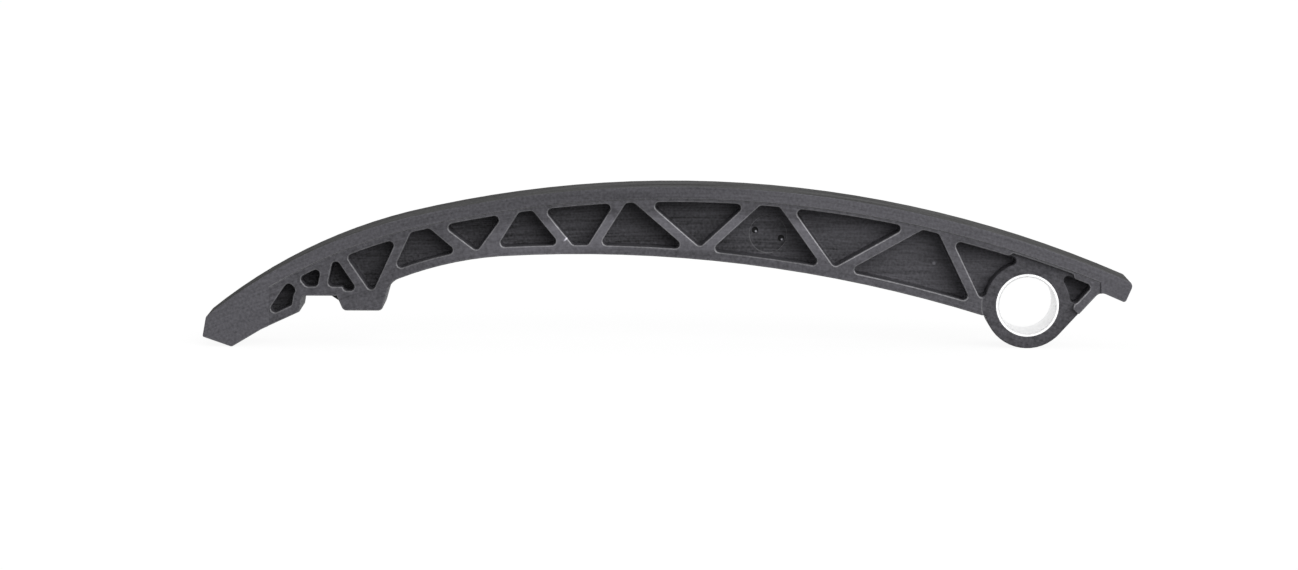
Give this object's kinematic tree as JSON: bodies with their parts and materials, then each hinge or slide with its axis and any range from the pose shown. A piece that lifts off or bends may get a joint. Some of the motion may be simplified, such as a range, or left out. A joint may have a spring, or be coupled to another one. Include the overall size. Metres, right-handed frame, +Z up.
{
  "type": "timing chain guide",
  "caption": "Curved moulded timing chain guide with a truss of side ribs, a tensioner foot and a steel-bushed pivot eye.",
  "frame": {"origin": "middle of the pivot bore", "axes": "+X along the rail from the tail to the tip, +Y along the pivot, +Z up to the chain face"},
  "size_m": [0.2638, 0.02, 0.046],
  "materials": {
    "arm": "as-moulded satin, dark grey glass-filled nylon",
    "bush": "drawn and reamed"
  },
  "bodies": {
    "root": {"guide_arm": "arm", "pivot_bush": "bush"}
  },
  "joints": []
}
